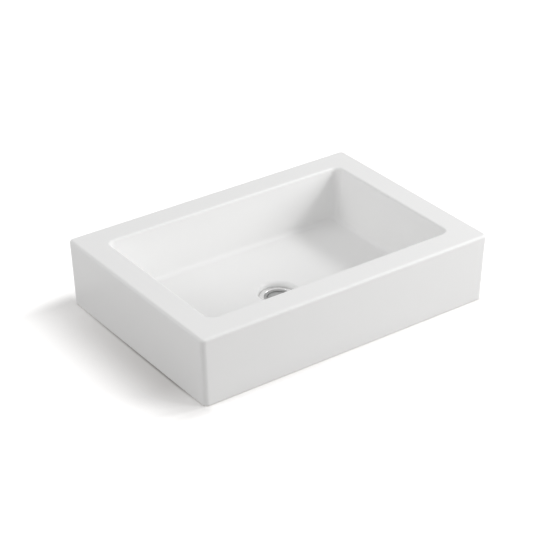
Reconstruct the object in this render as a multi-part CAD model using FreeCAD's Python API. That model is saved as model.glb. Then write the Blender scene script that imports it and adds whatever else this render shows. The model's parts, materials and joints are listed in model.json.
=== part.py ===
import FreeCAD, Part
import math
import os
from FreeCAD import Vector

os.makedirs("parts", exist_ok=True)

# Rectangular ceramic basin with a push-to-open waste. Millimetres, +Z up, X along the long side,
# -Y the front. The origin is the centre of the foot, on the worktop: the waste passes through it.

# Outer form of the ceramic body
basin_length = 600.0
basin_width = 415.0
basin_height = 128.0
end_draft = 4.9               # how far each short wall leans in at the foot
side_draft = 1.4              # the same for the front and back
outer_corner_radius = 9.0
rim_edge_radius = 5.0
foot_edge_radius = 2.0

# Bowl
end_rim_width = 49.0
side_rim_width = 49.5
bowl_end_lean = 11.5          # how far each short bowl wall leans in down to the worktop's height
bowl_side_lean = 6.0
bowl_corner_radius = 15.0
bowl_lip_radius = 4.0
bowl_floor_radius = 10.0      # the cove between walls and floor
floor_edge_height = 22.5      # bowl floor at the foot of the cove, above the worktop
floor_fall = 5.0              # from there down to the brim of the waste seat
floor_margin = 1.0            # level strip between the cove and the fall

# Casting walls, open from below
skirt_wall = 10.0
bowl_wall = 10.0
floor_thickness = 12.0        # at the edge; the floor's back is level, so it thins to the waste
rim_thickness = 11.0
channel_radius = 6.0          # rounding at the roof of the hollow under the rim
hollow_corner_radius = 4.0    # upright corners inside the skirt

# Stepped waste seat in the ceramic
seat_radius = 35.5
seat_depth = 11.3
seat_edge_radius = 7.0        # the floor turns down into the seat
hole_clearance = 0.4          # ceramic hole to the waste's neck
hole_chamfer = 1.5
boss_wall = 8.5               # boss outside the seat
boss_flare = 4.0
boss_lift = 0.5               # the boss stops short of the worktop
boss_sink = 1.0               # the boss's root inside the floor

# Waste body: flange, neck and threaded tail
flange_clearance = 0.8        # flange to the seat's wall
flange_thickness = 1.6
flange_dish = 0.5             # fall of the flange's polished ring towards the dish
flange_seal_thickness = 0.8
flange_seal_inset = 0.5       # seal short of the flange's edge and clear of the hole
tail_radius = 20.95           # crest of the G 1 1/4 thread
tail_wall = 2.35
neck_step = 1.65              # neck outside the thread
neck_wall = 2.0
neck_length = 5.0
tail_length = 68.0            # from under the flange
tail_chamfer = 1.0
relief_depth = 1.0
relief_width = 3.0
relief_below_nut = 3.0
dish_spread = 3.9             # satin dish's mouth outside the neck
dish_step = 0.35              # small bevelled step from the ring into the dish
dish_fall = 0.2               # from that step to the plug's pocket
plug_pocket_depth = 7.0
seat_cone_height = 2.0

# Bridge across the tail that carries the cartridge
bridge_arms = 3
bridge_arm_width = 4.0
bridge_height = 9.0
hub_wall = 3.0                # hub round the cartridge's thread

# Clamp under the basin
under_seal_land = 8.0         # rubber that bears on the boss, outside the hole
under_seal_thickness = 4.5
under_seal_taper = 5.0
under_seal_taper_height = 2.7
under_seal_nose = 1.2
washer_inset = 1.0            # slip washer inside the rubber's edge
washer_clearance = 0.3
slip_washer_thickness = 1.5
nut_wall = 7.0                # nut's flats outside its thread
nut_height = 10.0
nut_flange_overhang = 0.5     # nut's flange outside the slip washer
nut_flange_height = 2.5

# Plug
cap_thickness = 2.6
cap_shoulder = 1.4            # rounding of the cap's upper edge
cap_drop = 2.2                # the closed cap's top below the flange's top
cap_boss_radius = 6.0
cap_boss_length = 4.5
plug_seal_thickness = 1.5
plug_seal_width = 5.0
plug_travel = 8.0

# Push cartridge
stem_radius = 3.0
stem_engagement = 4.0         # stem inside the cap's boss
locknut_across_flats = 10.0
locknut_height = 3.0
stem_show = 3.7               # bare stem between the locknut and the barrel when closed
housing_radius = 6.9
collar_across_flats = 17.0
collar_height = 4.0
housing_rise = 6.0            # barrel above the collar
housing_wall = 1.6
housing_chamfer = 0.8
top_web = 6.0
gland_height = 2.2
gland_lift = 1.9              # gland above the web's underside
plunger_seal_width = 1.5
plunger_seal_height = 2.0
piston_height = 4.0
piston_headroom = 0.5         # left above the piston when the plug is up
tooth_count = 8
tooth_height = 0.8
tooth_share = 0.9             # part of each pitch that a tooth fills
rotor_height = 4.0
rotor_wall_gap = 0.45
pilot_radius = 1.8
pilot_extra = 1.0
end_plug_height = 4.0
end_plug_slot_width = 1.2
end_plug_slot_depth = 1.5
spring_wire_radius = 0.4
spring_turns = 4
spring_wire_sides = 6          # the round wire is drawn as a slender prism
spring_mean_radius = 3.8
spring_closed_length = 8.6    # room from the end plug to the rotor while the plug is down

# Clearances
cap_clearance = 0.4           # cap to its pocket
moving_clearance = 0.3        # curved faces that slide or turn on each other
thread_clearance = 0.1        # screwed and fitted pieces that don't move
overcut = 1.0                 # how far a cutting tool runs past the face that it opens
round_steps = 3               # bevels that stand for a small turned rounding

# Radii and heights worked out from the sizes above
brim_radius = seat_radius + seat_edge_radius
neck_radius = tail_radius + neck_step
waste_hole_radius = neck_radius + hole_clearance
tail_bore = tail_radius - tail_wall
pocket_radius = neck_radius - neck_wall
dish_radius = neck_radius + dish_spread
flange_radius = seat_radius - flange_clearance
boss_radius = seat_radius + boss_wall
under_seal_radius = waste_hole_radius + under_seal_land
slip_washer_radius = under_seal_radius - washer_inset
nut_flange_radius = slip_washer_radius + nut_flange_overhang
nut_across_flats = 2 * (tail_radius + nut_wall)
cap_radius = pocket_radius - cap_clearance
chamber_radius = housing_radius - housing_wall
piston_radius = chamber_radius - moving_clearance
gland_radius = stem_radius + moving_clearance + plunger_seal_width + thread_clearance

brim_z = floor_edge_height - floor_fall
ledge_z = brim_z - seat_depth
flange_under_z = ledge_z + flange_seal_thickness
flange_top_z = flange_under_z + flange_thickness
neck_end_z = flange_under_z - neck_length
tail_end_z = flange_under_z - tail_length
pocket_floor_z = flange_top_z - plug_pocket_depth
seat_cone_z = pocket_floor_z - seat_cone_height
boss_z = boss_lift
under_seal_z = boss_z - under_seal_thickness
slip_washer_z = under_seal_z - slip_washer_thickness
nut_z = slip_washer_z - nut_height
relief_top_z = nut_z - relief_below_nut

cap_top_z = flange_top_z - cap_drop
cap_under_z = cap_top_z - cap_thickness
cap_boss_z = cap_under_z - cap_boss_length
locknut_z = cap_boss_z - locknut_height
housing_top_z = locknut_z - stem_show
collar_top_z = housing_top_z - housing_rise
bridge_top_z = collar_top_z - collar_height
bridge_z = bridge_top_z - bridge_height
chamber_top_z = housing_top_z - top_web
piston_top_z = chamber_top_z - piston_headroom - plug_travel
piston_z = piston_top_z - piston_height
rotor_top_z = piston_z - tooth_height - moving_clearance - tooth_height
rotor_z = rotor_top_z - rotor_height
end_plug_top_z = rotor_z - spring_closed_length
housing_end_z = end_plug_top_z - end_plug_height


class Outline:
    """A closed outline in the plane of the axis, drawn point by point and turned into a ring."""

    def __init__(self, r, z):
        self.start = Vector(r, 0, z)
        self.here = self.start
        self.edges = []

    def line(self, r, z):
        target = Vector(r, 0, z)
        self.edges.append(Part.LineSegment(self.here, target).toShape())
        self.here = target
        return self

    def round(self, middle_r, middle_z, radius, first_angle, last_angle):
        """A small rounding about a middle point, turned as a few bevels; angles in degrees."""
        for i in range(round_steps + 1):
            angle = math.radians(first_angle + (last_angle - first_angle) * i / round_steps)
            self.line(middle_r + radius * math.cos(angle), middle_z + radius * math.sin(angle))
        return self

    def arc(self, through_r, through_z, r, z):
        target = Vector(r, 0, z)
        self.edges.append(Part.Arc(self.here, Vector(through_r, 0, through_z), target).toShape())
        self.here = target
        return self

    def revolve(self):
        self.line(self.start.x, self.start.z)
        face = Part.Face(Part.Wire(self.edges))
        return face.revolve(Vector(0, 0, 0), Vector(0, 0, 1), 360)


def cylinder(radius, low_z, high_z):
    return Part.makeCylinder(radius, high_z - low_z, Vector(0, 0, low_z))


def ring(inner_radius, outer_radius, low_z, high_z):
    outline = Outline(inner_radius, low_z).line(outer_radius, low_z)
    return outline.line(outer_radius, high_z).line(inner_radius, high_z).revolve()


def hexagon(across_flats, low_z, high_z):
    """A hexagonal prism whose corners are chamfered at both ends, as on a turned nut."""
    corner_radius = across_flats / math.sqrt(3.0)
    flat_radius = across_flats / 2.0
    bevel = (corner_radius - flat_radius) / 2.0
    points = [Vector(corner_radius * math.cos(math.radians(60 * i)),
                     corner_radius * math.sin(math.radians(60 * i)), low_z) for i in range(7)]
    prism = Part.Face(Part.makePolygon(points)).extrude(Vector(0, 0, high_z - low_z))
    turned = Outline(0, low_z).line(flat_radius, low_z).line(corner_radius, low_z + bevel)
    turned = turned.line(corner_radius, high_z - bevel).line(flat_radius, high_z).line(0, high_z)
    return prism.common(turned.revolve())


def leaning_block(low_size, low_z, high_size, high_z):
    """A four-sided block with flat leaning walls; each size is its length and width."""
    corners = []
    for (length, width), z in ((low_size, low_z), (high_size, high_z)):
        corners.append([Vector(sx * length / 2, sy * width / 2, z)
                        for sx, sy in ((-1, -1), (1, -1), (1, 1), (-1, 1))])
    low, high = corners
    loops = [low[::-1], high]
    for i in range(4):
        k = (i + 1) % 4
        loops.append([low[i], low[k], high[k], high[i]])
    skin = Part.makeCompound([Part.Face(Part.makePolygon(loop + loop[:1])) for loop in loops])
    skin.sewShape()
    return Part.Solid(skin.Shells[0])


def upright_edges(shape):
    picked = []
    for edge in shape.Edges:
        rise = abs(edge.Vertexes[0].Z - edge.Vertexes[-1].Z)
        if rise > 0.5 * shape.BoundBox.ZLength:
            picked.append(edge)
    return picked


def edges_at(shape, z, half_length=basin_length, half_width=basin_width):
    """Edges that lie at one height, inside a rectangle about the axis."""
    near = 0.1
    picked = []
    for edge in shape.Edges:
        box = edge.BoundBox
        level = abs(box.ZMin - z) < near and abs(box.ZMax - z) < near
        reach_x = max(abs(box.XMin), abs(box.XMax))
        reach_y = max(abs(box.YMin), abs(box.YMax))
        if level and reach_x < half_length + near and reach_y < half_width + near:
            picked.append(edge)
    return picked


def size_at(z, end_inset, side_inset, end_lean, side_lean):
    """Length and width of a leaning wall at one height, from its insets at the rim."""
    share = (basin_height - z) / basin_height
    length = basin_length - 2 * (end_inset + end_lean * share)
    width = basin_width - 2 * (side_inset + side_lean * share)
    return length, width


def walls_between(low_z, high_z, end_inset, side_inset, end_lean, side_lean, corner_radius):
    leans = (end_inset, side_inset, end_lean, side_lean)
    block = leaning_block(size_at(low_z, *leans), low_z, size_at(high_z, *leans), high_z)
    return block.makeFillet(corner_radius, upright_edges(block))


def bowl_form(end_inset, side_inset, corner_radius, floor_z, cove_radius):
    """The bowl's inner space, or the outside of its casting wall when the insets are smaller."""
    form = walls_between(floor_z, basin_height + overcut, end_inset, side_inset,
                         bowl_end_lean, bowl_side_lean, corner_radius)
    return form.makeFillet(cove_radius, edges_at(form, floor_z))


def quarter_arc(middle, radius, quarter):
    circle = Part.Circle(middle, Vector(0, 0, 1), radius)
    return Part.ArcOfCircle(circle, math.radians(90 * quarter), math.radians(90 * quarter + 90)).toShape()


def falling_floor():
    """The space over the sloping floor: a flat triangle falls from each side of the level edge,
    and a coned corner from each of its rounded corners, to the circle of the brim."""
    length, width = size_at(floor_edge_height, end_rim_width, side_rim_width,
                            bowl_end_lean, bowl_side_lean)
    middle_x = length / 2 - bowl_floor_radius - floor_margin - bowl_corner_radius
    middle_y = width / 2 - bowl_floor_radius - floor_margin - bowl_corner_radius
    upper = []
    lower = []
    for quarter, (sx, sy) in enumerate(((1, 1), (-1, 1), (-1, -1), (1, -1))):
        middle = Vector(sx * middle_x, sy * middle_y, floor_edge_height)
        upper.append(quarter_arc(middle, bowl_corner_radius, quarter))
        lower.append(quarter_arc(Vector(0, 0, brim_z), brim_radius, quarter))
    faces = [Part.Face(Part.Wire(lower))]
    level_edge = []
    for i in range(4):
        following = upper[(i + 1) % 4]
        corner_end = upper[i].valueAt(upper[i].LastParameter)
        side_end = following.valueAt(following.FirstParameter)
        touch = lower[i].valueAt(lower[i].LastParameter)
        level_edge += [upper[i], Part.LineSegment(corner_end, side_end).toShape()]
        faces.append(Part.makeRuledSurface(lower[i], upper[i]))
        faces.append(Part.Face(Part.makePolygon([corner_end, side_end, touch, corner_end])))
    faces.append(Part.Face(Part.Wire(level_edge)))
    skin = Part.makeCompound(faces)
    skin.sewShape()
    space = Part.Solid(skin.Shells[0])
    space.fix(0.01, 0.01, 0.01)
    if space.Volume < 0:
        space.reverse()
    return space


def ceramic_basin():
    outside = walls_between(0, basin_height, 0, 0, end_draft, side_draft, outer_corner_radius)
    outside = outside.makeFillet(rim_edge_radius, edges_at(outside, basin_height))
    outside = outside.makeFillet(foot_edge_radius, edges_at(outside, 0))

    bowl = bowl_form(end_rim_width, side_rim_width, bowl_corner_radius,
                     floor_edge_height, bowl_floor_radius)
    body = outside.cut(bowl)
    lip = edges_at(body, basin_height, basin_length / 2 - end_rim_width, basin_width / 2 - side_rim_width)
    body = body.makeFillet(bowl_lip_radius, lip)

    hollow = walls_between(-overcut, basin_height - rim_thickness, skirt_wall, skirt_wall,
                           end_draft, side_draft, hollow_corner_radius)
    bowl_back = bowl_form(end_rim_width - bowl_wall, side_rim_width - bowl_wall,
                          bowl_corner_radius + bowl_wall, floor_edge_height - floor_thickness,
                          bowl_floor_radius + bowl_wall)
    hollow = hollow.cut(bowl_back)
    hollow = hollow.makeFillet(channel_radius, edges_at(hollow, basin_height - rim_thickness))
    body = body.cut(hollow).cut(falling_floor())

    boss_top_z = floor_edge_height - floor_thickness + boss_sink
    boss = Outline(0, boss_z).line(boss_radius, boss_z)
    boss = boss.line(boss_radius + boss_flare, boss_top_z).line(0, boss_top_z).revolve()
    body = body.fuse(boss)

    seat = Outline(0, ledge_z).line(seat_radius, ledge_z)
    seat = seat.line(seat_radius, brim_z - seat_edge_radius)
    slant = seat_edge_radius * math.sqrt(0.5)
    seat = seat.arc(brim_radius - slant, brim_z - seat_edge_radius + slant, brim_radius, brim_z)
    seat = seat.line(0, brim_z).revolve()
    hole = Outline(0, -overcut).line(waste_hole_radius + hole_chamfer + overcut + boss_z, -overcut)
    hole = hole.line(waste_hole_radius, boss_z + hole_chamfer).line(waste_hole_radius, ledge_z + overcut)
    hole = hole.line(0, ledge_z + overcut).revolve()
    return body.cut(seat).cut(hole)


def flange_seal():
    return ring(waste_hole_radius + flange_seal_inset, flange_radius - flange_seal_inset,
                ledge_z, flange_under_z)


def waste_body():
    dish_z = flange_top_z - flange_dish
    edge = flange_thickness / 2
    outline = Outline(tail_bore, tail_end_z)
    outline.line(tail_radius - tail_chamfer, tail_end_z)
    outline.line(tail_radius, tail_end_z + tail_chamfer)
    outline.line(tail_radius, relief_top_z - relief_width)
    outline.line(tail_radius - relief_depth, relief_top_z - relief_width + relief_depth)
    outline.line(tail_radius - relief_depth, relief_top_z - relief_depth)
    outline.line(tail_radius, relief_top_z)
    outline.line(tail_radius, neck_end_z)
    outline.line(neck_radius, neck_end_z)
    outline.line(neck_radius, flange_under_z)
    outline.line(flange_radius, flange_under_z)
    outline.round(flange_radius - edge, flange_top_z - edge, edge, 0, 90)
    outline.line(dish_radius, dish_z)
    outline.line(dish_radius - dish_step, dish_z - dish_step)
    outline.line(pocket_radius, dish_z - dish_step - dish_fall)
    outline.line(pocket_radius, pocket_floor_z)
    outline.line(tail_bore, seat_cone_z)
    body = outline.revolve()

    hub = cylinder(housing_radius + hub_wall, bridge_z, bridge_top_z)
    arm_reach = tail_bore + tail_wall / 2
    for i in range(bridge_arms):
        arm = Part.makeBox(arm_reach, bridge_arm_width, bridge_height,
                           Vector(0, -bridge_arm_width / 2, bridge_z))
        arm.rotate(Vector(0, 0, 0), Vector(0, 0, 1), 360.0 / bridge_arms * i + 90)
        hub = hub.fuse(arm)
    thread = cylinder(housing_radius + thread_clearance, bridge_z - overcut, bridge_top_z + overcut)
    return body.fuse(hub.cut(thread)).removeSplitter()


def under_seal():
    bore = tail_radius + thread_clearance
    outline = Outline(bore, under_seal_z)
    outline.line(under_seal_radius - under_seal_taper, under_seal_z)
    outline.line(under_seal_radius, under_seal_z + under_seal_taper_height)
    outline.line(under_seal_radius, boss_z)
    outline.line(waste_hole_radius + hole_chamfer, boss_z)
    nose_width = hole_chamfer - under_seal_nose
    outline.line(waste_hole_radius + nose_width, boss_z + under_seal_nose)
    outline.line(bore, boss_z + under_seal_nose)
    return outline.revolve()


def slip_washer():
    return ring(tail_radius + washer_clearance, slip_washer_radius, slip_washer_z, under_seal_z)


def backnut():
    body = hexagon(nut_across_flats, nut_z, slip_washer_z - nut_flange_height / 2)
    body = body.fuse(cylinder(nut_flange_radius, slip_washer_z - nut_flange_height, slip_washer_z))
    return body.cut(cylinder(tail_radius + thread_clearance, nut_z - overcut, slip_washer_z + overcut))


def plug_cap():
    socket = stem_radius + thread_clearance
    outline = Outline(0, cap_boss_z + stem_engagement).line(socket, cap_boss_z + stem_engagement)
    outline.line(socket, cap_boss_z)
    outline.line(cap_boss_radius, cap_boss_z)
    outline.line(cap_boss_radius, cap_under_z)
    outline.line(cap_radius, cap_under_z)
    outline.round(cap_radius - cap_shoulder, cap_top_z - cap_shoulder, cap_shoulder, 0, 90)
    outline.line(0, cap_top_z)
    return outline.revolve()


def plug_seal():
    """A flat ring under the cap whose outer edge is bevelled to the cone that it closes on."""
    cone_run = pocket_radius - tail_bore
    low_z = cap_under_z - plug_seal_thickness
    lip = cap_radius
    low_radius = lip - max(0.0, (pocket_floor_z + moving_clearance - low_z)) * cone_run / seat_cone_height
    outline = Outline(lip - plug_seal_width, cap_under_z).line(lip, cap_under_z)
    outline.line(lip, max(pocket_floor_z + moving_clearance, low_z))
    outline.line(low_radius - moving_clearance, low_z)
    outline.line(lip - plug_seal_width, low_z)
    return outline.revolve()


def cap_locknut():
    body = hexagon(locknut_across_flats, locknut_z, cap_boss_z)
    return body.cut(cylinder(stem_radius + thread_clearance, locknut_z - overcut, cap_boss_z + overcut))


def crown(inner_radius, outer_radius, base_z, height):
    """A ring of ramp teeth that rise from base_z, or hang from it when the height is negative."""
    pitch = 360.0 / tooth_count
    root_z = base_z - height / 2
    teeth = []
    for i in range(tooth_count):
        wires = []
        for radius in (inner_radius, outer_radius):
            start = math.radians(i * pitch)
            stop = math.radians((i + tooth_share) * pitch)
            points = [Vector(radius * math.cos(start), radius * math.sin(start), base_z),
                      Vector(radius * math.cos(stop), radius * math.sin(stop), base_z + height),
                      Vector(radius * math.cos(stop), radius * math.sin(stop), root_z),
                      Vector(radius * math.cos(start), radius * math.sin(start), root_z)]
            wires.append(Part.makePolygon(points + points[:1]))
        teeth.append(Part.makeLoft(wires, True, True))
    return teeth


def plunger():
    shank = cylinder(stem_radius, piston_top_z - overcut, cap_boss_z + stem_engagement)
    body = shank.fuse(cylinder(piston_radius, piston_z, piston_top_z))
    pilot = cylinder(pilot_radius, rotor_z - pilot_extra, piston_z + overcut)
    body = body.fuse(pilot)
    return body.fuse(crown(pilot_radius + rotor_wall_gap, piston_radius - rotor_wall_gap,
                           piston_z, -tooth_height))


def cartridge_housing():
    stem_hole = stem_radius + moving_clearance
    gland_z = chamber_top_z + gland_lift
    barrel = Outline(0, housing_end_z).line(housing_radius, housing_end_z)
    barrel.line(housing_radius, housing_top_z - housing_chamfer)
    barrel.line(housing_radius - housing_chamfer, housing_top_z).line(0, housing_top_z)
    body = barrel.revolve().fuse(hexagon(collar_across_flats, bridge_top_z, collar_top_z))
    body = body.cut(cylinder(stem_hole, chamber_top_z - overcut, housing_top_z + overcut))
    body = body.cut(cylinder(chamber_radius, housing_end_z - overcut, chamber_top_z))
    return body.cut(cylinder(gland_radius, gland_z, gland_z + gland_height))


def plunger_seal():
    low_z = chamber_top_z + gland_lift + (gland_height - plunger_seal_height) / 2
    inner = stem_radius + moving_clearance
    return ring(inner, inner + plunger_seal_width, low_z, low_z + plunger_seal_height)


def latch_rotor():
    bore = pilot_radius + moving_clearance
    body = ring(bore, piston_radius, rotor_z, rotor_top_z)
    return body.fuse(crown(bore + rotor_wall_gap, piston_radius - rotor_wall_gap,
                           rotor_top_z, tooth_height))


def cartridge_spring():
    """An open coil from the end plug up to the rotor."""
    low_z = end_plug_top_z + spring_wire_radius
    high_z = rotor_z - spring_wire_radius - thread_clearance
    rise = high_z - low_z
    path = Part.makeHelix(rise / spring_turns, rise, spring_mean_radius)
    path.translate(Vector(0, 0, low_z))
    start = path.Edges[0].valueAt(path.Edges[0].FirstParameter)
    tangent = path.Edges[0].tangentAt(path.Edges[0].FirstParameter)
    outward = Vector(1, 0, 0)
    upward = tangent.cross(outward)
    corners = []
    for i in range(spring_wire_sides):
        angle = 2 * math.pi * (i + 0.5) / spring_wire_sides
        corners.append(start + outward * (spring_wire_radius * math.cos(angle))
                       + upward * (spring_wire_radius * math.sin(angle)))
    section = Part.makePolygon(corners + corners[:1])
    print("spring: least gap between coils", round(rise / spring_turns - 2 * spring_wire_radius, 2), "mm")
    return Part.Wire(path.Edges).makePipeShell([section], True, False)


def cartridge_end_plug():
    radius = chamber_radius - thread_clearance
    body = cylinder(radius, housing_end_z, end_plug_top_z)
    slot = Part.makeBox(2 * housing_radius, end_plug_slot_width, end_plug_slot_depth + overcut,
                        Vector(-housing_radius, -end_plug_slot_width / 2, housing_end_z - overcut))
    return body.cut(slot)


pieces = [ceramic_basin, flange_seal, waste_body, under_seal, slip_washer, backnut,
          plug_cap, plug_seal, cap_locknut, plunger, cartridge_housing, plunger_seal,
          latch_rotor, cartridge_spring, cartridge_end_plug]

for make in pieces:
    shape = make()
    if len(shape.Solids) == 1:
        shape = shape.Solids[0]
    shape.exportStep("parts/" + make.__name__ + ".step")
    box = shape.BoundBox
    print(make.__name__, "solids", len(shape.Solids), "valid", shape.isValid(),
          "volume", round(shape.Volume / 1000, 2), "cm3, z", round(box.ZMin, 2), "to", round(box.ZMax, 2))
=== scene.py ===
import json
import math
import bpy
import bmesh
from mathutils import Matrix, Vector


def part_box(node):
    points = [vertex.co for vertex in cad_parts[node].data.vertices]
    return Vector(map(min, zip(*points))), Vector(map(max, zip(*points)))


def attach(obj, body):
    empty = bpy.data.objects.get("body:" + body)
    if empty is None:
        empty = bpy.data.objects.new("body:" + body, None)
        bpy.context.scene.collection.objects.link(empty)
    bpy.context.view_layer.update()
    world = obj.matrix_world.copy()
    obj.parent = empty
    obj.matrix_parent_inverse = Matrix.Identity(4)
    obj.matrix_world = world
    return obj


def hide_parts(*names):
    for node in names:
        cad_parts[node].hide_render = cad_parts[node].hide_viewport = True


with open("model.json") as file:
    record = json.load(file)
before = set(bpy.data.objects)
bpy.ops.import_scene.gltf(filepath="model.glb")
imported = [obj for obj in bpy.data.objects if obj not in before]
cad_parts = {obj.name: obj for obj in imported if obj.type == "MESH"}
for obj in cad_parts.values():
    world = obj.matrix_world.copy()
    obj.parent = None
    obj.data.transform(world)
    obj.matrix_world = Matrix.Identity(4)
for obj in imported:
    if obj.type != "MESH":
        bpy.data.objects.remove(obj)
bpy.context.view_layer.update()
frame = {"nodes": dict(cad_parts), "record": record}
nodes = frame["nodes"]
print("frame loaded:", len(nodes), "nodes")

# Camera. Lengths are metres, angles degrees, +Z up, -Y the basin's front.

cameraView = {
    "azimuth": -36.03,           # from the front towards the left end
    "elevation": 29.85,
    "distance": 3.1718,
    "aim": (0.0, 0.0, 0.064),
    "slideRight": 0.00271,       # puts the basin where the picture has it
    "slideUp": -0.01948,
    "lens": 116.42,
    "sensorWidth": 36,
    "farClip": 50,
}


def placeCamera():
    azimuth = math.radians(cameraView["azimuth"])
    elevation = math.radians(cameraView["elevation"])
    back = Vector((math.sin(azimuth) * math.cos(elevation),
                   -math.cos(azimuth) * math.cos(elevation),
                   math.sin(elevation)))
    right = Vector((math.cos(azimuth), math.sin(azimuth), 0))
    up = back.cross(right)
    data = bpy.data.cameras.new("photoCamera")
    data.lens = cameraView["lens"]
    data.sensor_width = cameraView["sensorWidth"]
    data.clip_end = cameraView["farClip"]
    camera = bpy.data.objects.new("photoCamera", data)
    camera.location = (Vector(cameraView["aim"]) + back * cameraView["distance"]
                       + right * cameraView["slideRight"] + up * cameraView["slideUp"])
    camera.rotation_mode = "QUATERNION"
    camera.rotation_quaternion = (-back).to_track_quat("-Z", "Y")
    bpy.context.scene.collection.objects.link(camera)
    bpy.context.scene.camera = camera


placeCamera()
print("camera placed")

# Small helpers for node trees


def addNode(tree, kind, **settings):
    node = tree.nodes.new(kind)
    for name, value in settings.items():
        setattr(node, name, value)
    return node


def plug(tree, value, socket):
    if hasattr(value, "is_linked"):
        tree.links.new(value, socket)
    else:
        socket.default_value = value


def calc(tree, operation, first, second=0.0, clamp=False):
    node = addNode(tree, "ShaderNodeMath", operation=operation, use_clamp=clamp)
    plug(tree, first, node.inputs[0])
    plug(tree, second, node.inputs[1])
    return node.outputs[0]


def blendValue(tree, share, low, high):
    node = addNode(tree, "ShaderNodeMapRange")
    plug(tree, share, node.inputs["Value"])
    plug(tree, low, node.inputs["To Min"])
    plug(tree, high, node.inputs["To Max"])
    return node.outputs[0]


def smoothShare(tree, value, low, high):
    node = addNode(tree, "ShaderNodeMapRange", interpolation_type="SMOOTHSTEP")
    plug(tree, value, node.inputs["Value"])
    plug(tree, low, node.inputs["From Min"])
    plug(tree, high, node.inputs["From Max"])
    return node.outputs[0]


def blendColor(tree, share, low, high):
    node = addNode(tree, "ShaderNodeMix", data_type="RGBA")
    plug(tree, share, node.inputs[0])
    plug(tree, low if hasattr(low, "is_linked") else (*low, 1), node.inputs[6])
    plug(tree, high if hasattr(high, "is_linked") else (*high, 1), node.inputs[7])
    return node.outputs[2]


# Studio: white room, low key light from the right, soft fills, white table that stops under the foot, with
# painted shade and a painted glow on it

studio = {
    "roomLight": 0.50,                       # strength of the room on the object; the seen background is 1
    "lights": {
        "keyLight": {"from": (1.0, -0.33, 0.87), "distance": 3.0, "size": 0.6, "power": 20.5},
        "frontFill": {"from": (0.9, -1.0, 0.5), "distance": 3.2, "size": 1.6, "power": 36},
        "leftFill": {"from": (-1.0, 0.2, 0.7), "distance": 3.2, "size": 1.6, "power": 18},
    },
    "tableBounce": (0.52, 0.515, 0.51),      # what the table gives back to the object
    "tableSeen": (1.0, 0.99, 0.982),
    "tablePaintedShade": (0.770, 0.755, 0.745),     # painted shade close to the left end, on the side away from the key
    "tablePaintedContactShadow": (0.42, 0.40, 0.39),      # painted contact shadow where the foot touches it there
    "contactWidth": 0.005,
    "tablePaintedGlow": (0.12, 0.5),                # painted glow that lifts the lit table to plain white and fades its shadows out: by the basin, far from it
    "glowFull": 0.15,                        # metres from the left end
    "glowTighter": 3.0,                      # how much sooner it is full on the other sides
    "shadeLead": 0.1,                        # metres before a corner where the shade starts to fade
    "shadeTighter": 1.6,                     # how fast it fades from there
    "shadeMargin": 0.015,                    # the shade begins this far under the left end
    "shadeAcross": (0.26, -0.1),             # from the back, where it is least, to where it is full
    "shadeAtBack": 0.1,                      # its share at the back
    "basinHalf": (0.295, 0.206),
    "tableReach": 8.0,
    "cutOutHalf": (0.2925, 0.2035),          # the table stops under the foot, so light reaches the hollow
}
corners = ((-1, -1), (1, -1), (1, 1), (-1, 1))


def seenRay(tree):
    path = addNode(tree, "ShaderNodeLightPath")
    seen = calc(tree, "ADD", path.outputs["Is Camera Ray"], path.outputs["Is Glossy Ray"])
    return calc(tree, "ADD", seen, path.outputs["Is Transmission Ray"], clamp=True)


def makeRoom():
    world = bpy.data.worlds.new("whiteRoom")
    bpy.context.scene.world = world
    world.use_nodes = True
    tree = world.node_tree
    tree.nodes.clear()
    background = addNode(tree, "ShaderNodeBackground")
    background.inputs["Color"].default_value = (1, 1, 1, 1)
    plug(tree, blendValue(tree, seenRay(tree), studio["roomLight"], 1.0), background.inputs["Strength"])
    output = addNode(tree, "ShaderNodeOutputWorld")
    tree.links.new(background.outputs[0], output.inputs["Surface"])


def addSoftLight(name, settings):
    data = bpy.data.lights.new(name, "AREA")
    data.shape = "DISK"
    data.size = settings["size"]
    data.energy = settings["power"]
    lamp = bpy.data.objects.new(name, data)
    toLamp = Vector(settings["from"]).normalized()
    lamp.location = toLamp * settings["distance"]
    lamp.rotation_mode = "QUATERNION"
    lamp.rotation_quaternion = toLamp.to_track_quat("Z", "Y")
    bpy.context.scene.collection.objects.link(lamp)


def distanceFromLeft(tree, leftEnd, others, tighter):
    others = calc(tree, "MULTIPLY", calc(tree, "MAXIMUM", others, 0.0), tighter)
    squares = calc(tree, "ADD", calc(tree, "MULTIPLY", leftEnd, leftEnd),
                   calc(tree, "MULTIPLY", others, others))
    return calc(tree, "SQRT", squares)


# Shares for the table's painted shade, painted contact shadow and painted glow
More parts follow.
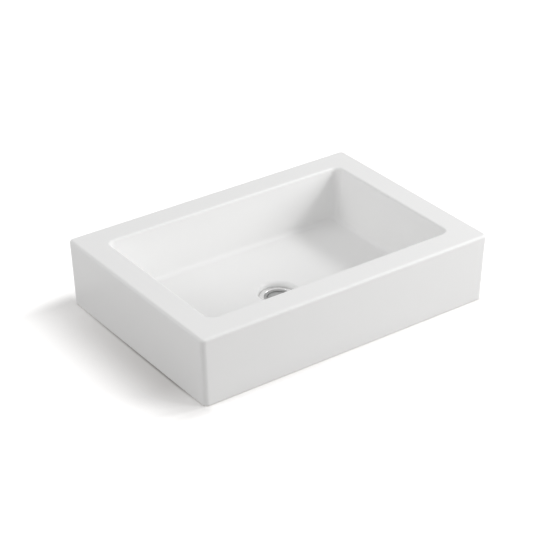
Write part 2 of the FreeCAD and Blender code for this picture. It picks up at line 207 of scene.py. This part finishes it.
def tableShares(tree):
    halfLength, halfWidth = studio["basinHalf"]
    split = addNode(tree, "ShaderNodeSeparateXYZ")
    tree.links.new(addNode(tree, "ShaderNodeTexCoord").outputs["Object"], split.inputs[0])
    pastLeft = calc(tree, "SUBTRACT", -halfLength, split.outputs["X"])
    leftEnd = calc(tree, "MAXIMUM", pastLeft, 0.0)
    others = calc(tree, "MAXIMUM", calc(tree, "SUBTRACT", split.outputs["X"], halfLength),
                  calc(tree, "SUBTRACT", calc(tree, "ABSOLUTE", split.outputs["Y"]), halfWidth))
    away = distanceFromLeft(tree, leftEnd, others, studio["glowTighter"])
    ahead = calc(tree, "ADD", others, studio["shadeLead"])
    fading = distanceFromLeft(tree, leftEnd, ahead, studio["shadeTighter"])
    spread = smoothShare(tree, away, 0.0, studio["glowFull"])
    faded = smoothShare(tree, fading, 0.0, studio["glowFull"])
    besideLeft = smoothShare(tree, pastLeft, -studio["shadeMargin"], 0.0)
    towardsFront = smoothShare(tree, split.outputs["Y"], *studio["shadeAcross"])
    # painted shade: full beside the left end, fading towards the corners and the back
    paintedShadeShare = calc(tree, "MULTIPLY", besideLeft, calc(tree, "SUBTRACT", 1.0, faded))
    paintedShadeShare = calc(tree, "MULTIPLY", paintedShadeShare, blendValue(tree, towardsFront, studio["shadeAtBack"], 1.0))
    # painted contact shadow along the foot, inside the painted shade
    contactShadowShare = calc(tree, "SUBTRACT", 1.0, smoothShare(tree, away, 0.0, studio["contactWidth"]))
    return spread, besideLeft, paintedShadeShare, calc(tree, "MULTIPLY", contactShadowShare, paintedShadeShare)


# The table's white, with painted shade, a painted contact shadow and a painted glow
def tablePaint():
    material = bpy.data.materials.new("tablePaint")
    material.use_nodes = True
    tree = material.node_tree
    tree.nodes.clear()
    paint = addNode(tree, "ShaderNodeBsdfDiffuse")
    glow = addNode(tree, "ShaderNodeEmission")
    seen = seenRay(tree)
    spread, besideLeft, paintedShadeShare, contactShadowShare = tableShares(tree)
    # painted shade and a painted contact shadow in the colour the camera sees
    seenColor = blendColor(tree, paintedShadeShare, studio["tableSeen"], studio["tablePaintedShade"])
    seenColor = blendColor(tree, contactShadowShare, seenColor, studio["tablePaintedContactShadow"])
    plug(tree, blendColor(tree, seen, studio["tableBounce"], seenColor), paint.inputs["Color"])
    # painted glow, none beside the left end
    near = calc(tree, "MULTIPLY", calc(tree, "SUBTRACT", 1.0, besideLeft), studio["tablePaintedGlow"][0])
    strength = blendValue(tree, spread, near, studio["tablePaintedGlow"][1])
    plug(tree, calc(tree, "MULTIPLY", seen, strength), glow.inputs["Strength"])
    both = addNode(tree, "ShaderNodeAddShader")
    tree.links.new(paint.outputs[0], both.inputs[0])
    tree.links.new(glow.outputs[0], both.inputs[1])
    below = addNode(tree, "ShaderNodeNewGeometry")
    clear = addNode(tree, "ShaderNodeBsdfTransparent")
    choose = addNode(tree, "ShaderNodeMixShader")     # the table is clear from below, to show the foot
    tree.links.new(below.outputs["Backfacing"], choose.inputs[0])
    tree.links.new(both.outputs[0], choose.inputs[1])
    tree.links.new(clear.outputs[0], choose.inputs[2])
    output = addNode(tree, "ShaderNodeOutputMaterial")
    tree.links.new(choose.outputs[0], output.inputs["Surface"])
    return material


def makeTable():
    bm = bmesh.new()
    rings = []
    for halfX, halfY in (studio["cutOutHalf"], (studio["tableReach"], studio["tableReach"])):
        rings.append([bm.verts.new((sideX * halfX, sideY * halfY, 0)) for sideX, sideY in corners])
    for i in range(len(corners)):
        k = (i + 1) % len(corners)
        bm.faces.new((rings[0][i], rings[1][i], rings[1][k], rings[0][k]))
    mesh = bpy.data.meshes.new("whiteTable")
    bm.to_mesh(mesh)
    bm.free()
    mesh.materials.append(tablePaint())
    table = bpy.data.objects.new("whiteTable", mesh)
    bpy.context.scene.collection.objects.link(table)


makeRoom()
for name, settings in studio["lights"].items():
    addSoftLight(name, settings)
makeTable()
bpy.context.scene.view_settings.view_transform = "Standard"
print("studio made:", len(studio["lights"]), "soft lights")

# Materials


def startMaterial(name, color, metallic, roughness):
    material = bpy.data.materials.new(name)
    material.use_nodes = True
    tree = material.node_tree
    shader = tree.nodes["Principled BSDF"]
    plug(tree, color if hasattr(color, "is_linked") else (*color, 1), shader.inputs["Base Color"])
    shader.inputs["Metallic"].default_value = metallic
    shader.inputs["Roughness"].default_value = roughness
    place = addNode(tree, "ShaderNodeTexCoord").outputs["Object"]
    return material, tree, shader, place


def noise(tree, place, scale, detail=2.0, roughness=0.5):
    node = addNode(tree, "ShaderNodeTexNoise")
    plug(tree, place, node.inputs["Vector"])
    node.inputs["Scale"].default_value = scale
    node.inputs["Detail"].default_value = detail
    node.inputs["Roughness"].default_value = roughness
    return node.outputs[0]


def addBump(tree, height, distance, strength, shader, before=None):
    node = addNode(tree, "ShaderNodeBump")
    plug(tree, height, node.inputs["Height"])
    plug(tree, strength, node.inputs["Strength"])
    node.inputs["Distance"].default_value = distance
    if before is not None:
        tree.links.new(before, node.inputs["Normal"])
    tree.links.new(node.outputs[0], shader.inputs["Normal"])
    return node.outputs[0]


def axisRadius(tree, place):
    split = addNode(tree, "ShaderNodeSeparateXYZ")
    plug(tree, place, split.inputs[0])
    squareX = calc(tree, "MULTIPLY", split.outputs["X"], split.outputs["X"])
    squareY = calc(tree, "MULTIPLY", split.outputs["Y"], split.outputs["Y"])
    return calc(tree, "SQRT", calc(tree, "ADD", squareX, squareY)), split


glazeLook = {
    "glaze": (0.93, 0.93, 0.928),
    "glazeThin": (0.92, 0.918, 0.912),      # the tone where glaze runs thin, as over an edge; the cloud mixes it in at random
    "glazeRoughness": (0.26, 0.34),
    "glazeSpecular": 0.25,
    "orangePeel": 95.0,                      # waves to the metre
    "peelDepth": 0.00006,
    "peelStrength": 0.35,
    "cloud": 7.0,                            # patches to the metre, in the tint and in the gloss
    "glossPatch": 24.0,
    "biscuit": (0.80, 0.775, 0.72),
    "biscuitDark": (0.70, 0.665, 0.60),
    "biscuitRoughness": 0.85,
    "grit": 900.0,
    "gritDepth": 0.00025,
    "gritStrength": 0.6,
    "skirtMiddle": (0.2945, 0.2020),         # half sizes half way through the casting's walls
    "bowlMiddle": (0.2560, 0.1630),
    "bowlLean": (0.0898, 0.0469),            # what the bowl's walls lean in, to each metre down
    "skirtLean": (0.0383, 0.0109),
    "roofMiddle": 0.1225,
    "floorMiddle": 0.0135,
    "seatMiddle": 0.0395,
    "ledgeMiddle": 0.0035,
    "footBare": 0.0018,                      # how high the ground foot reaches, at most
    "footRagged": 0.0012,
    "footPatch": 160.0,
    "height": 0.128,
}


def glazeMaterial():
    look = glazeLook
    material, tree, shader, place = startMaterial("glaze", look["glaze"], 0.0, 0.3)
    shader.inputs["Specular IOR Level"].default_value = look["glazeSpecular"]
    split = addNode(tree, "ShaderNodeSeparateXYZ")
    plug(tree, place, split.inputs[0])
    acrossX = calc(tree, "ABSOLUTE", split.outputs["X"])
    acrossY = calc(tree, "ABSOLUTE", split.outputs["Y"])
    height = split.outputs["Z"]
    depth = calc(tree, "SUBTRACT", look["height"], height)

    def insideOf(halfSizes, leans):
        checks = []
        for across, half, lean in ((acrossX, halfSizes[0], leans[0]), (acrossY, halfSizes[1], leans[1])):
            edge = calc(tree, "SUBTRACT", half, calc(tree, "MULTIPLY", depth, lean))
            checks.append(calc(tree, "LESS_THAN", across, edge))
        return calc(tree, "MULTIPLY", checks[0], checks[1])

    inSkirt = calc(tree, "MULTIPLY", insideOf(look["skirtMiddle"], look["skirtLean"]),
                   calc(tree, "LESS_THAN", height, look["roofMiddle"]))
    inBowl = calc(tree, "MULTIPLY", insideOf(look["bowlMiddle"], look["bowlLean"]),
                  calc(tree, "GREATER_THAN", height, look["floorMiddle"]))
    under = calc(tree, "MULTIPLY", inSkirt, calc(tree, "SUBTRACT", 1.0, inBowl))
    radius, _ = axisRadius(tree, place)
    inSeat = calc(tree, "LESS_THAN", radius, look["seatMiddle"])
    inSeat = calc(tree, "MULTIPLY", inSeat, calc(tree, "GREATER_THAN", height, look["ledgeMiddle"]))
    under = calc(tree, "MULTIPLY", under, calc(tree, "SUBTRACT", 1.0, inSeat))
    ragged = calc(tree, "MULTIPLY", noise(tree, place, look["footPatch"], 3.0), look["footRagged"])
    footTop = calc(tree, "ADD", ragged, look["footBare"] - look["footRagged"])
    foot = calc(tree, "LESS_THAN", height, footTop)
    bare = calc(tree, "MAXIMUM", under, foot)

    cloud = noise(tree, place, look["cloud"], 3.0)
    glaze = blendColor(tree, cloud, look["glaze"], look["glazeThin"])
    grit = noise(tree, place, look["grit"], 4.0, 0.7)
    biscuit = blendColor(tree, grit, look["biscuitDark"], look["biscuit"])
    plug(tree, blendColor(tree, bare, glaze, biscuit), shader.inputs["Base Color"])
    gloss = blendValue(tree, noise(tree, place, look["glossPatch"]), *look["glazeRoughness"])
    plug(tree, blendValue(tree, bare, gloss, look["biscuitRoughness"]), shader.inputs["Roughness"])
    peel = noise(tree, place, look["orangePeel"], 1.0)
    smooth = addBump(tree, peel, look["peelDepth"], look["peelStrength"], shader)
    addBump(tree, grit, look["gritDepth"], calc(tree, "MULTIPLY", bare, look["gritStrength"]), shader, smooth)
    return material


metalLooks = {
    # dishPaintedShade: the share of its colour the dish keeps under painted shade
    "polished_chrome": {"color": (0.75, 0.75, 0.745), "shade": (0.70, 0.70, 0.70), "roughness": (0.17, 0.25),
                        "turning": 2600.0, "turningDepth": 0.000004, "patch": 60.0, "marks": 500.0,
                        "dishRadius": 0.0262, "dishPaintedShade": 0.50, "dishRoughness": 0.45},
    "brushed_cap": {"color": (0.43, 0.43, 0.427), "shade": (0.32, 0.32, 0.32), "roughness": (0.48, 0.34),
                    "turning": 3800.0, "turningDepth": 0.00002, "patch": 140.0, "marks": 1500.0},
    "raw_brass": {"color": (0.80, 0.63, 0.34), "shade": (0.64, 0.47, 0.23), "roughness": (0.22, 0.40),
                  "turning": 3000.0, "turningDepth": 0.00002, "patch": 90.0, "marks": 900.0},
    "cartridge_brass": {"color": (0.78, 0.61, 0.32), "shade": (0.66, 0.50, 0.26), "roughness": (0.20, 0.34),
                        "turning": 4200.0, "turningDepth": 0.000012, "patch": 150.0, "marks": 1200.0},
    "spring_steel": {"color": (0.62, 0.62, 0.63), "shade": (0.46, 0.46, 0.48), "roughness": (0.18, 0.32),
                     "turning": 0.0, "turningDepth": 0.0, "patch": 400.0, "marks": 1500.0},
}
metalWear = {"low": 0.36, "high": 0.64, "wander": 1.5, "turningStrength": 0.5}


def metalMaterial(name):
    look = metalLooks[name]
    material, tree, shader, place = startMaterial(name, look["color"], 1.0, 0.2)
    radius, split = axisRadius(tree, place)
    along = calc(tree, "ADD", radius, split.outputs["Z"])         # tool marks on flats and on barrels
    patches = noise(tree, place, look["patch"], 3.0)
    marks = addNode(tree, "ShaderNodeTexNoise", noise_dimensions="1D")
    plug(tree, along, marks.inputs["W"])
    marks.inputs["Scale"].default_value = look["marks"]
    marks.inputs["Detail"].default_value = 5.0
    marks.inputs["Roughness"].default_value = 0.75
    worn = calc(tree, "MULTIPLY", calc(tree, "ADD", patches, marks.outputs[0]), 0.5)
    worn = smoothShare(tree, worn, metalWear["low"], metalWear["high"])
    color = blendColor(tree, worn, look["shade"], look["color"])
    gloss = blendValue(tree, worn, *look["roughness"])
    if "dishRadius" in look:                          # satin dish inside the polished ring: rougher, and its colour halved as painted shade
        inDish = calc(tree, "LESS_THAN", radius, look["dishRadius"])
        inDish = calc(tree, "MULTIPLY", inDish, calc(tree, "GREATER_THAN", split.outputs["Z"], 0.0))
        paintedShadeDishColor = blendColor(tree, look["dishPaintedShade"], (0, 0, 0), color)
        color = blendColor(tree, inDish, color, paintedShadeDishColor)
        gloss = blendValue(tree, inDish, gloss, look["dishRoughness"])
    plug(tree, color, shader.inputs["Base Color"])
    plug(tree, gloss, shader.inputs["Roughness"])
    if look["turning"]:
        wander = calc(tree, "MULTIPLY", patches, metalWear["wander"])
        phase = calc(tree, "ADD", calc(tree, "MULTIPLY", along, look["turning"] * math.tau), wander)
        addBump(tree, calc(tree, "SINE", phase), look["turningDepth"], metalWear["turningStrength"], shader)
    return material


softLooks = {
    "seal_rubber": {"color": (0.028, 0.028, 0.030), "shade": (0.045, 0.044, 0.043), "roughness": (0.52, 0.72),
                    "grain": 700.0, "grainDepth": 0.00005, "translucent": 0.0},
    "white_nylon": {"color": (0.80, 0.79, 0.75), "shade": (0.74, 0.73, 0.68), "roughness": (0.38, 0.52),
                    "grain": 450.0, "grainDepth": 0.00002, "translucent": 0.15},
    "acetal": {"color": (0.83, 0.83, 0.81), "shade": (0.78, 0.78, 0.75), "roughness": (0.28, 0.42),
               "grain": 600.0, "grainDepth": 0.00001, "translucent": 0.1},
}
softFeel = {"scatter": 0.002, "grainToPatch": 9, "grainStrength": 0.6}


def softMaterial(name):
    look = softLooks[name]
    material, tree, shader, place = startMaterial(name, look["color"], 0.0, 0.5)
    grain = noise(tree, place, look["grain"], 4.0, 0.6)
    patches = noise(tree, place, look["grain"] / softFeel["grainToPatch"])
    plug(tree, blendColor(tree, patches, look["color"], look["shade"]), shader.inputs["Base Color"])
    plug(tree, blendValue(tree, grain, *look["roughness"]), shader.inputs["Roughness"])
    shader.inputs["Subsurface Weight"].default_value = look["translucent"]
    shader.inputs["Subsurface Scale"].default_value = softFeel["scatter"]
    addBump(tree, grain, look["grainDepth"], softFeel["grainStrength"], shader)
    return material


finishes = {"glaze": glazeMaterial()}
for name in metalLooks:
    finishes[name] = metalMaterial(name)
for name in softLooks:
    finishes[name] = softMaterial(name)
slotOf = {part["node"]: part["material_slot"] for part in frame["record"]["subparts"]}
for name, node in nodes.items():
    node.data.materials.clear()
    node.data.materials.append(finishes[slotOf[name]])
print("materials given:", len(finishes))

# Threads and the spring's round wire, wound with Geometry Nodes

windings = {
    "tailThread": {"Radius": 0.01945, "Bottom": -0.0604, "Pitch": 0.002309, "Turns": 16.4, "Steps": 64,
                   "Ridge Height": 0.00148, "Ridge Foot": 0.00205, "Ridge Crest": 0.0004},
    "neckThread": {"Radius": 0.01945, "Bottom": -0.0180, "Pitch": 0.002309, "Turns": 7.6, "Steps": 64,
                   "Ridge Height": 0.00148, "Ridge Foot": 0.00205, "Ridge Crest": 0.0004},
    "springWire": {"Radius": 0.0038, "Bottom": -0.0400, "Pitch": 0.001925, "Turns": 4.0, "Steps": 40,
                   "Wire Radius": 0.0004},
}
windingLook = {
    "fadeTurns": 0.5,            # a ridge runs out over this much of a turn
    "fadeLeast": 0.15,           # to this share of its height
    "wireSides": 12,
    "smoothAngle": 35,
}
tailTurning = {
    "reach": 0.0215,             # what lies inside this radius is turned down to the thread's root
    "aboveSeal": 0.0005,         # as far up as this past the seal
    "mergeWithin": 1e-6,
}


def groupInputs(tree, names):
    kinds = {"Steps": "NodeSocketInt", "Finish": "NodeSocketMaterial"}
    for name in names:
        tree.interface.new_socket(name, in_out="INPUT", socket_type=kinds.get(name, "NodeSocketFloat"))
    tree.interface.new_socket("Mesh", in_out="OUTPUT", socket_type="NodeSocketGeometry")
    return addNode(tree, "NodeGroupInput").outputs


def ridgeProfile(tree, sizes):
    outline = addNode(tree, "GeometryNodeCurvePrimitiveQuadrilateral", mode="TRAPEZOID")
    plug(tree, sizes["Ridge Foot"], outline.inputs["Bottom Width"])
    plug(tree, sizes["Ridge Crest"], outline.inputs["Top Width"])
    plug(tree, sizes["Ridge Height"], outline.inputs["Height"])
    outline.inputs["Offset"].default_value = 0
    turned = addNode(tree, "GeometryNodeTransform")
    tree.links.new(outline.outputs[0], turned.inputs["Geometry"])
    turned.inputs["Rotation"].default_value = (0, 0, -math.pi / 2)
    shift = addNode(tree, "ShaderNodeCombineXYZ")
    plug(tree, calc(tree, "MULTIPLY", sizes["Ridge Height"], 0.5), shift.inputs["X"])
    tree.links.new(shift.outputs[0], turned.inputs["Translation"])
    return turned.outputs[0]


def wireProfile(tree, sizes):
    outline = addNode(tree, "GeometryNodeCurvePrimitiveCircle")
    outline.inputs["Resolution"].default_value = windingLook["wireSides"]
    plug(tree, sizes["Wire Radius"], outline.inputs["Radius"])
    return outline.outputs[0]


def windingTree(name, drawProfile, fades):
    sizes = windings[name]
    tree = bpy.data.node_groups.new(name + "Tree", "GeometryNodeTree")
    given = groupInputs(tree, [*sizes, "Finish"])
    spiral = addNode(tree, "GeometryNodeCurveSpiral")
    plug(tree, given["Steps"], spiral.inputs["Resolution"])
    plug(tree, given["Turns"], spiral.inputs["Rotations"])
    plug(tree, given["Radius"], spiral.inputs["Start Radius"])
    plug(tree, given["Radius"], spiral.inputs["End Radius"])
    plug(tree, calc(tree, "MULTIPLY", given["Pitch"], given["Turns"]), spiral.inputs["Height"])
    spiral.inputs["Reverse"].default_value = True          # right-handed, with its normals outward
    upright = addNode(tree, "GeometryNodeSetCurveNormal", mode="Z_UP")
    tree.links.new(spiral.outputs[0], upright.inputs["Curve"])
    sweep = addNode(tree, "GeometryNodeCurveToMesh")
    tree.links.new(upright.outputs[0], sweep.inputs["Curve"])
    tree.links.new(drawProfile(tree, given), sweep.inputs["Profile Curve"])
    sweep.inputs["Fill Caps"].default_value = True
    if fades:
        along = addNode(tree, "GeometryNodeSplineParameter").outputs["Factor"]
        nearEnd = calc(tree, "MINIMUM", along, calc(tree, "SUBTRACT", 1.0, along))
        turnsIn = calc(tree, "MULTIPLY", nearEnd, given["Turns"])
        share = calc(tree, "DIVIDE", turnsIn, windingLook["fadeTurns"], clamp=True)
        plug(tree, calc(tree, "MAXIMUM", share, windingLook["fadeLeast"]), sweep.inputs["Scale"])
    lift = addNode(tree, "GeometryNodeTransform")
    tree.links.new(sweep.outputs[0], lift.inputs["Geometry"])
    place = addNode(tree, "ShaderNodeCombineXYZ")
    plug(tree, given["Bottom"], place.inputs["Z"])
    tree.links.new(place.outputs[0], lift.inputs["Translation"])
    real = addNode(tree, "GeometryNodeRealizeInstances")
    tree.links.new(lift.outputs[0], real.inputs[0])
    finish = addNode(tree, "GeometryNodeSetMaterial")
    tree.links.new(real.outputs[0], finish.inputs["Geometry"])
    tree.links.new(given["Finish"], finish.inputs["Material"])
    output = addNode(tree, "NodeGroupOutput")
    tree.links.new(finish.outputs[0], output.inputs[0])
    return tree


def windMesh(name, drawProfile, material, fades=False):
    tree = windingTree(name, drawProfile, fades)
    maker = bpy.data.objects.new(name + "Maker", bpy.data.meshes.new(name + "Maker"))
    bpy.context.scene.collection.objects.link(maker)
    modifier = maker.modifiers.new("winding", "NODES")
    modifier.node_group = tree
    values = {**windings[name], "Finish": material}
    for socket in tree.interface.items_tree:
        if socket.in_out == "INPUT":                  # sizes go in by identifier, not by name
            modifier[socket.identifier] = values[socket.name]
    ready = maker.evaluated_get(bpy.context.evaluated_depsgraph_get())
    mesh = bpy.data.meshes.new_from_object(ready)
    bpy.data.objects.remove(maker)
    return mesh


def finishPiece(name, bm, material, body, stoodFor):
    bmesh.ops.recalc_face_normals(bm, faces=bm.faces)
    mesh = bpy.data.meshes.new(name)
    bm.to_mesh(mesh)
    bm.free()
    if mesh.has_custom_normals:                       # left over from the CAD mesh
        mesh.attributes.remove(mesh.attributes["custom_normal"])
    mesh.materials.clear()
    mesh.materials.append(material)
    mesh.shade_smooth()
    mesh.set_sharp_from_angle(angle=math.radians(windingLook["smoothAngle"]))
    piece = bpy.data.objects.new(name, mesh)
    bpy.context.scene.collection.objects.link(piece)
    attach(piece, body)
    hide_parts(stoodFor)
    return piece


def makeThreadedWaste():
    finish = finishes[slotOf["waste_body"]]
    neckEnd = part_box("under_seal")[1][2] + tailTurning["aboveSeal"]
    rootRadius = windings["tailThread"]["Radius"]
    bm = bmesh.new()
    bm.from_mesh(nodes["waste_body"].data)
    bmesh.ops.remove_doubles(bm, verts=bm.verts, dist=tailTurning["mergeWithin"])
    for vert in bm.verts:
        radius = math.hypot(vert.co.x, vert.co.y)
        if rootRadius < radius < tailTurning["reach"] and vert.co.z < neckEnd:
            vert.co.x *= rootRadius / radius
            vert.co.y *= rootRadius / radius
    for name in ("tailThread", "neckThread"):
        bm.from_mesh(windMesh(name, ridgeProfile, finish, fades=True))
    return finishPiece("threadedWaste", bm, finish, "root", "waste_body")


def makeSpring():
    finish = finishes[slotOf["cartridge_spring"]]
    bm = bmesh.new()
    bm.from_mesh(windMesh("springWire", wireProfile, finish))
    return finishPiece("roundWireSpring", bm, finish, "root", "cartridge_spring")


threadedWaste = makeThreadedWaste()
spring = makeSpring()
print("wound pieces:", len(threadedWaste.data.polygons), "and", len(spring.data.polygons), "faces")
